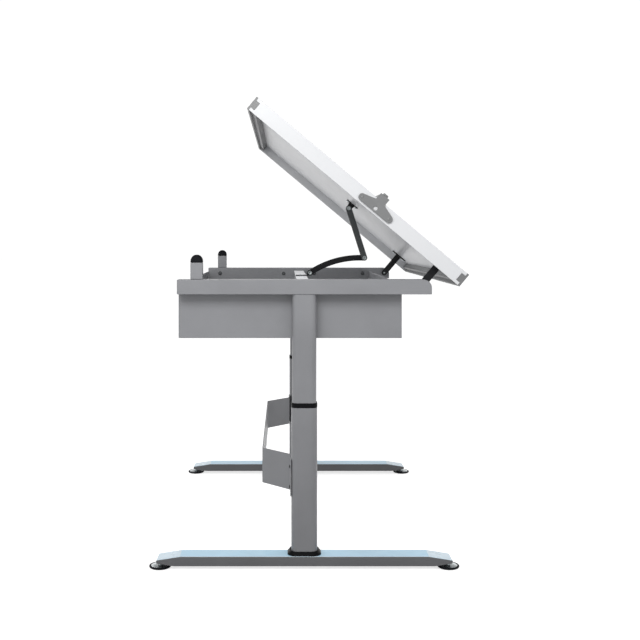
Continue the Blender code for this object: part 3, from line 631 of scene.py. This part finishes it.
def columns():
    collar = [(0.0012, 0.0), (0.0002, 0.05), (0.0, 0.18), (0.0004, 0.36), (0.0022, 0.58),
              (0.0044, 0.72), (0.0058, 0.84), (0.0062, 0.94), (0.0068, 1.0)]
    ring = [(0.0006, 0.0), (0.0001, 0.05), (0.0, 0.3), (0.0, 0.7), (0.0003, 0.88),
            (0.0010, 0.97), (0.0017, 1.0)]
    for side_name, _ in SIDES:
        lower = f"lower_column_{side_name}"
        upper = f"upper_column_{side_name}"
        column_tube(lower, "base", 0.019, 0.002)
        column_tube(upper, "lift_frame", 0.017, 0.0018)
        moulded_ring(f"column_collar_{side_name}", collar, 0.022, lower, 0.0193, 0.0003, 0.0022)
        moulded_ring(f"column_guide_ring_{side_name}", ring, 0.019, upper, 0.0175, 0.0004)


def stretcher():
    """The folded panel between the columns, bolted through its flanges."""
    refined("stretcher_panel", "frame_paint", "base", bevel=0.0007)
    for side_name, _ in SIDES:
        tube = f"lower_column_{side_name}"
        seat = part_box(tube)[0].x - STRETCHER_FLANGE_OFFSET - 0.0001
        for i, height in enumerate(STRETCHER_BOLT_HEIGHTS):
            socket_bolt(f"stretcher_bolt_{side_name}_{i + 1}", (seat, middle(tube).y, height),
                        "-x", "base", radius=0.0055, height=0.003, length=0.0032)


# ---------------------------------------------------------------- lifting frame
def side_rails():
    """Tubes with a rounded nose at the front and eased edges."""
    nose = RAIL_NOSE_RADIUS
    for side_name, _ in SIDES:
        node = f"side_rail_{side_name}"
        low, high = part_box(node)
        outline = [(low.x, low.z), (high.x, low.z)]
        outline += arc((high.x - nose, high.z - nose), nose, 0, 90, 20) + [(low.x, high.z)]
        finish_piece(node + "_look", slab([outline], low.y, high.y), "frame_paint", "lift_frame",
                     [node], bevel=0.0016, segments=4, sharp=30)


def tray():
    """Sheet panels with a folded hem along each top edge."""
    for node in ("tray_floor", "tray_back_panel", "tray_front_panel", "tray_end_panel_left",
                 "tray_end_panel_right"):
        refined(node, "tray_paint", "lift_frame", bevel=0.0003)
    inner_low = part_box("tray_back_panel")[1].x
    inner_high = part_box("tray_front_panel")[0].x
    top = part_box("tray_back_panel")[1].z
    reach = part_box("tray_end_panel_right")[0].y - 0.004
    for name, x, side in (("back", inner_low, 1), ("front", inner_high, -1)):
        near, far = sorted((x + side * SURFACE_GAP, x + side * (SURFACE_GAP + HEM_THICKNESS)))
        shape = box_shape((near, -reach, top - HEM_DEPTH), (far, reach, top))
        finish_piece(f"tray_hem_{name}", shape, "tray_paint", "lift_frame", bevel=0.0005)


def cross_beam():
    beam = refined("cross_beam", ["frame_paint", "beam_painted_highlight"], "lift_frame", bevel=0.0009, segments=3)
    # the beam's top faces take the near-white painted highlight
    face_up(beam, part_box("cross_beam")[1].z - 0.002)


def frame_bolts():
    """Bolts through the tray's end panels and the beam's flanges into the rails, with spacers."""
    rail_low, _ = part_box("side_rail_right")
    panel_low, panel_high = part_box("tray_end_panel_right")
    flange_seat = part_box("cross_beam")[1].y - 0.004
    column_x = middle("upper_column_left").x
    half = (rail_low.y - panel_high.y) / 2 - SLIDE_GAP
    ring = [(0.0034, -half), (0.0086, -half), (0.0090, -half + 0.0004),
            (0.0090, half - 0.0004), (0.0086, half), (0.0034, half), (0.0034, -half)]
    for side_name, side in SIDES:
        for i, offset in enumerate(FRAME_BOLT_OFFSETS):
            x = column_x + offset
            seat = flange_seat if abs(offset) < 0.1 else panel_low.y
            socket_bolt(f"frame_bolt_{side_name}_{i + 1}",
                        (x, side * (seat - SURFACE_GAP), FRAME_BOLT_HEIGHT), inward(side),
                        "lift_frame", radius=0.0078, height=0.0042,
                        length=FRAME_BOLT_REACH - seat, look="bolt_metal")
            centre = (x, side * (rail_low.y + panel_high.y) / 2, FRAME_BOLT_HEIGHT)
            shape = lathe(ring, centre, "+y", 32)
            bmesh.ops.remove_doubles(shape, verts=shape.verts, dist=WELD)
            finish_piece(f"frame_spacer_{side_name}_{i + 1}", shape, "dark_metal", "lift_frame")


def bumpers():
    """Square posts with arched rubber caps."""
    steps = 14
    band = 0.0022
    for side_name, _ in SIDES:
        refined(f"bumper_post_{side_name}", "frame_paint", "lift_frame")
        node = f"bumper_cap_{side_name}"
        low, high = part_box(node)
        centre, size = plan(node)
        rise = high.z - low.z - band
        foot = (size[0] - 0.001, size[1] - 0.001)
        sections = [(low.z, rounded_rectangle(centre, foot, 0.003, 8)),
                    (low.z + 0.0008, rounded_rectangle(centre, size, 0.0035, 8)),
                    (low.z + band, rounded_rectangle(centre, size, 0.0038, 8))]
        for i in range(1, steps):
            angle = math.pi / 2 * i / steps
            share = math.cos(angle) ** 0.84
            width = size[0] * share
            depth = size[1] * (0.35 + 0.65 * share)
            corner = min(0.0038 + 0.004 * math.sin(angle), width / 2 - 0.0002, depth / 2 - 0.0002)
            sections.append((low.z + band + rise * math.sin(angle),
                             rounded_rectangle(centre, (width, depth), corner, 8)))
        finish_piece(node + "_look", tower(sections, closed=False), "black_rubber", "lift_frame",
                     [node], sharp=60)


def hinge_pins():
    """Shouldered pins. The tip's rim is black, and its centre and the rest are plated."""
    for side_name, side in SIDES:
        node = f"hinge_pin_{side_name}"
        low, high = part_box(node)
        base = max(abs(low.y), abs(high.y))
        tip = high.y - low.y
        shoulder = base - HINGE_SHOULDER_Y
        neck = tip - 0.0035
        profile = [(0, 0), (0.0082, 0), (0.0085, 0.0004), (0.0085, shoulder - 0.0005),
                   (0.0080, shoulder), (0.0040, shoulder), (0.0040, neck), (0.0055, neck),
                   (0.0058, neck + 0.0004), (0.0058, tip - 0.0009), (0.0050, tip),
                   (0.0032, tip), (0.0020, tip - 0.0005), (0, tip - 0.0006)]
        place = (HINGE.x, side * base, HINGE.z)
        pin = finish_piece(node + "_look", lathe(profile, place, inward(side)),
                           ["pin_metal", "black_metal"], "lift_frame", [node])
        for face in pin.data.polygons:
            reach = math.hypot(face.center.x - HINGE.x, face.center.z - HINGE.z)
            if reach > 0.0032 and abs(face.center.y) < base - neck + 0.0002:
                face.material_index = 1


def stay_frame_fittings():
    refined("stay_frame_bracket", "black_metal", "lift_frame", bevel=0.0005)
    pivot_pin("stay_frame_pin", middle("stay_frame_pin"), "lift_frame")
    bracket_low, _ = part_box("stay_frame_bracket")
    for side_name, side in SIDES:
        place = (middle("cross_beam").x - 0.004, side * 0.0122, bracket_low.z + 0.0031)
        cross_screw(f"stay_bracket_screw_{side_name}", place, "+z", "lift_frame", radius=0.0038,
                    height=0.002)


# ---------------------------------------------------------------- board
def board_shell():
    """The laminated panel and skirts, and the two grooved edge profiles with their tongues."""
    for node, bevel in (("board_panel", 0.0004), ("end_skirt_left", 0.0006),
                        ("end_skirt_right", 0.0006)):
        refined(node, "white_laminate", "board", bevel=bevel)
    for name, along in (("back", 1), ("front", -1)):
        node = f"edge_rail_{name}"
        low, high = level_box(node)
        edge = low.x if along > 0 else high.x
        plate = edge + along * 0.0063
        tip = edge + along * 0.0199
        tongue_low = low.z + 0.0095
        tongue_high = low.z + 0.0341
        groove = edge + along * 0.0007
        centre = (low.z + high.z) / 2
        outline = [(edge, low.z), (plate, low.z), (plate, tongue_low), (tip, tongue_low),
                   (tip, tongue_high), (plate, tongue_high), (plate, high.z), (edge, high.z)]
        for height in (centre + 0.010, centre - 0.010):
            outline += [(edge, height + 0.0012), (groove, height + 0.0007),
                        (groove, height - 0.0007), (edge, height - 0.0012)]
        finish_piece(node + "_look", slab([outline], low.y, high.y), "edge_metal", "board", [node],
                     turn=BOARD_TURN, bevel=0.0003, segments=2)


def hinge_brackets():
    for side_name, side in SIDES:
        node = f"hinge_bracket_{side_name}"
        refined(node, "black_metal", "board", bevel=0.0006)
        low, high = level_box(node)
        inner = (low.y + high.y) / 2 - side * 0.001
        for i, offset in enumerate((-0.023, 0.023)):
            place = (HINGE.x + offset, inner, high.z - 0.0042)
            cross_screw(f"hinge_screw_{side_name}_{i + 1}", place, "-z", "board",
                        turn=BOARD_TURN)


def stay_board_fittings():
    refined("stay_board_bracket", "black_metal", "board", bevel=0.0005)
    pivot_pin("stay_board_pin", BOARD_PIVOT, "board")
    low, high = level_box("stay_board_bracket")
    x = (low.x + high.x) / 2
    for i, (dx, dy) in enumerate(((-0.018, -0.0125), (-0.018, 0.0125), (0.018, -0.0125),
                                  (0.018, 0.0125))):
        cross_screw(f"stay_plate_screw_{i + 1}", (x + dx, dy, high.z - 0.0032), "-z", "board",
                    radius=0.0034, height=0.002, turn=BOARD_TURN)


# ---------------------------------------------------------------- stay
def bent_bar(length, rise, width, steps=24):
    """A bar from the origin along +X that bows upwards, with round ends."""
    radius = (length ** 2 / 4 + rise ** 2) / (2 * rise)
    half = math.degrees(math.asin(length / 2 / radius))
    centre = (length / 2, rise - radius)
    points = arc(centre, radius + width / 2, 90 + half, 90 - half, steps)
    points += arc((length, 0), width / 2, 90 - half, -90 - half, 16)[1:-1]
    points += arc(centre, radius - width / 2, 90 - half, 90 + half, steps)
    points += arc((0, 0), width / 2, 270 + half, 90 + half, 16)[1:-1]
    return points


def stay():
    """The bowed arm between the link's two plates, with the knee's bosses and pin heads."""
    hole = circle((0, 0), STAY_HOLE_RADIUS)
    shape = slab([bent_bar(STAY_ARM, STAY_ARM_RISE, STAY_WIDTH), hole], -ARM_THICKNESS / 2,
                 ARM_THICKNESS / 2)
    finish_piece("stay_arm_look", shape, "black_metal", "stay_arm", ["stay_arm"], turn=ARM_TURN,
                 bevel=0.0006)
    boss = [(0, 0), (0.008, 0), (0.008, 0.0008), (0.0076, 0.0012), (0, 0.0012)]
    head = [(0, 0), (0.0070, 0), (0.0070, 0.0021), (0.0064, 0.0027), (0.0032, 0.0027),
            (0.0024, 0.0021), (0, 0.0020)]
    outline = arc((0, 0), STAY_WIDTH / 2, 90, 270, 20)
    outline += arc((STAY_LINK, 0), STAY_WIDTH / 2, -90, 90, 20)
    for side_name, side in SIDES:
        place = (STAY_ARM, side * ARM_THICKNESS / 2, 0)
        finish_piece(f"knee_boss_{side_name}", lathe(boss, place, outward(side)), "pin_metal",
                     "stay_arm", turn=ARM_TURN)
        low, high = sorted(side * face for face in LINK_PLATE_FACES)
        plate = finish_piece(f"stay_link_plate_{side_name}", slab([outline, hole], low, high),
                             "dark_metal", "stay_link", turn=LINK_TURN, bevel=0.0005)
        if side < 0:
            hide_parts("stay_link")
        place = (STAY_LINK, side * LINK_PLATE_FACES[1], 0)
        finish_piece(f"knee_pin_head_{side_name}", lathe(head, place, outward(side)), "pin_metal",
                     "stay_link", turn=LINK_TURN)
    spacer = [(0, -0.0044), (0.0047, -0.0044), (0.005, -0.0041), (0.005, 0.0041),
              (0.0047, 0.0044), (0, 0.0044)]
    finish_piece("stay_link_spacer", lathe(spacer, (0.040, 0, 0), "+y", 32), "dark_metal",
                 "stay_link", turn=LINK_TURN)


# ---------------------------------------------------------------- straightedge
def straightedge():
    """The grooved bar, the lobed end plates with their hole, the glides and the knobs."""
    low, high = level_box("straightedge_bar")
    x = (low.x + high.x) / 2
    half = (high.x - low.x) / 2
    chamfer = 0.004
    groove = 0.0008
    outline = [(x - half, low.z), (x + half, low.z), (x + half, high.z - chamfer),
               (x + half - chamfer, high.z)]
    for offset in (0.006, -0.006):
        outline += [(x + offset + 0.0011, high.z), (x + offset + 0.0008, high.z - groove),
                    (x + offset - 0.0008, high.z - groove), (x + offset - 0.0011, high.z)]
    outline += [(x - half + chamfer, high.z), (x - half, high.z - chamfer)]
    finish_piece("straightedge_bar_look", slab([outline], low.y, high.y), "edge_metal",
                 "straightedge", ["straightedge_bar"], turn=BOARD_TURN, bevel=0.0003, segments=2)
    right = arc((RULE_LOBE_REACH, RULE_LOBE_Z), 0.011, -90, 62, 20)
    right += [(half + 0.0016, 0.9262), (half + 0.0004, 0.9275), (half, 0.9292), (half, high.z)]
    outline = [(u + x, v) for u, v in right + [(-u, v) for u, v in reversed(right)]]
    for side_name, side in SIDES:
        node = f"straightedge_end_plate_{side_name}"
        plate_low, plate_high = level_box(node)
        shape = slab([outline, circle((x, 0.9046), 0.0065, 40)], plate_low.y, plate_high.y)
        finish_piece(node + "_look", shape, "edge_metal", "straightedge", [node], turn=BOARD_TURN,
                     bevel=0.0006, segments=3)
        refined(f"straightedge_glide_{side_name}", "black_plastic", "straightedge", bevel=0.0003)
        fluted_knob(side_name, x, high.z)
        rivet = [(0, 0), (0.0042, 0), (0.0040, 0.0007), (0.0030, 0.0012), (0, 0.0015)]
        for i, offset in enumerate((-RULE_LOBE_REACH, RULE_LOBE_REACH)):
            place = (x + offset, plate_high.y if side > 0 else plate_low.y, RULE_LOBE_Z)
            finish_piece(f"end_plate_rivet_{side_name}_{i + 1}",
                         lathe(rivet, place, outward(side), 32), "edge_metal", "straightedge",
                         turn=BOARD_TURN)


def fluted_knob(side_name, x, seat):
    """A small lock knob with finger flutes round its rim."""
    node = f"lock_knob_{side_name}"
    y = (level_box(node)[0].y + level_box(node)[1].y) / 2
    steps = 96
    flutes = 16
    flute_depth = 0.00035
    profile = [(0.0030, -0.0072), (0.0030, 0.0003), (0.0072, 0.0003), (0.0080, 0.0008),
               (0.0085, 0.0016), (0.0085, 0.0052), (0.0081, 0.0061), (0.0073, 0.0066),
               (0.0058, 0.0067), (0.0052, 0.0063)]

    def fluted(radius):
        return lambda angle: radius + flute_depth * (math.cos(flutes * angle) - 1)

    shape = bmesh.new()
    rings = [pole(shape, -0.0072)]
    for radius, height in profile:
        on_rim = 0.0014 < height < 0.0058
        rings.append(ring_of(shape, fluted(radius) if on_rim else radius, height, steps))
    rings.append(pole(shape, 0.0061))
    join_rings(shape, rings)
    bmesh.ops.translate(shape, vec=(x, y, seat + SURFACE_GAP), verts=shape.verts)
    finish_piece(node + "_look", shape, "edge_metal", f"lock_knob_{side_name}", [node],
                 turn=BOARD_TURN, sharp=50)


# ---------------------------------------------------------------- hidden inner pieces
def inner_pieces():
    """The gas springs inside the columns keep their CAD shape."""
    for side_name, _ in SIDES:
        for node, look in ((f"lift_spring_cylinder_{side_name}", "dark_metal"),
                           (f"lift_spring_rod_{side_name}", "bright_metal")):
            piece = frame["nodes"][node]
            piece.data.materials.clear()
            piece.data.materials.append(LOOKS[look])


# ---------------------------------------------------------------- stage, light and camera
AIM = Vector((0, 0, 0.8))
SKY_STRENGTH = 1.06
FLOOR_GLOW = 0.66
CAMERA_LENS_MM = 52.1
CAMERA_SHIFT = (0.0547, -0.1266)
CAMERA_BEHIND_COLUMN = 0.0564
CAMERA_DISTANCE = 3.271
CAMERA_HEIGHT = 0.962


def stage():
    floor_shape = bmesh.new()
    bmesh.ops.create_circle(floor_shape, cap_ends=True, segments=96, radius=40)
    mesh = bpy.data.meshes.new("floor")
    floor_shape.to_mesh(mesh)
    floor_shape.free()
    finish, _, shader = new_material("floor_white", 0.9, gloss=0.0)
    shader.inputs["Base Color"].default_value = (0.9, 0.9, 0.9, 1)
    shader.inputs["Emission Color"].default_value = (1, 1, 1, 1)
    shader.inputs["Emission Strength"].default_value = FLOOR_GLOW
    mesh.materials.append(finish)
    floor = bpy.data.objects.new("floor", mesh)
    floor.location.z = -0.0005
    floor.visible_diffuse = False
    bpy.context.scene.collection.objects.link(floor)


def sky():
    """A white band above the horizon, dim overhead and below, so that upward faces don't burn."""
    world = bpy.data.worlds.new("studio")
    bpy.context.scene.world = world
    world.use_nodes = True
    tree = world.node_tree
    background = tree.nodes["Background"]
    place = tree.nodes.new("ShaderNodeTexCoord")
    split = tree.nodes.new("ShaderNodeSeparateXYZ")
    ramp = tree.nodes.new("ShaderNodeValToRGB")
    shift = tree.nodes.new("ShaderNodeMapRange")
    shift.inputs["From Min"].default_value = -1.0
    shift.inputs["From Max"].default_value = 1.0
    stops = ramp.color_ramp.elements
    stops[0].position = 0.30
    stops[0].color = (0.16, 0.16, 0.17, 1)
    stops[1].position = 1.0
    stops[1].color = (0.22, 0.22, 0.225, 1)
    for position, level in ((0.5, 1.0), (0.655, 1.0), (0.75, 0.42)):
        stops.new(position).color = (level, level, level, 1)
    tree.links.new(place.outputs["Generated"], split.inputs["Vector"])
    tree.links.new(split.outputs["Z"], shift.inputs["Value"])
    tree.links.new(shift.outputs["Result"], ramp.inputs["Fac"])
    tree.links.new(ramp.outputs["Color"], background.inputs["Color"])
    background.inputs["Strength"].default_value = SKY_STRENGTH


def softbox(name, place, size, power):
    """A rectangular light aimed at the middle of the table."""
    light = bpy.data.lights.new(name, "AREA")
    light.shape = "RECTANGLE"
    light.size = size[0]
    light.size_y = size[1]
    light.energy = power
    lamp = bpy.data.objects.new(name, light)
    lamp.location = place
    lamp.rotation_euler = (AIM - Vector(place)).to_track_quat("-Z", "Y").to_euler()
    bpy.context.scene.collection.objects.link(lamp)


def camera():
    """Level camera looking along the table's length, a little behind its middle."""
    data = bpy.data.cameras.new("camera")
    data.sensor_width = 36
    data.lens = CAMERA_LENS_MM
    data.shift_x, data.shift_y = CAMERA_SHIFT
    holder = bpy.data.objects.new("camera", data)
    holder.location = (middle("upper_column_left").x - CAMERA_BEHIND_COLUMN, -CAMERA_DISTANCE,
                       CAMERA_HEIGHT)
    holder.rotation_euler = (math.pi / 2, 0, 0)
    bpy.context.scene.collection.objects.link(holder)
    bpy.context.scene.camera = holder


camera()
stage()
sky()
softbox("key", (-0.5, -2.8, 2.2), (1.8, 1.0), 42)
softbox("rear", (-2.6, 1.4, 1.9), (1.6, 1.2), 22)
softbox("front", (3.0, 0.8, 1.9), (1.6, 1.2), 16)
foot_beams()
levelling_feet()
columns()
stretcher()
side_rails()
tray()
cross_beam()
frame_bolts()
bumpers()
hinge_pins()
stay_frame_fittings()
board_shell()
hinge_brackets()
stay_board_fittings()
stay()
straightedge()
inner_pieces()
bpy.context.scene.view_settings.view_transform = "Standard"
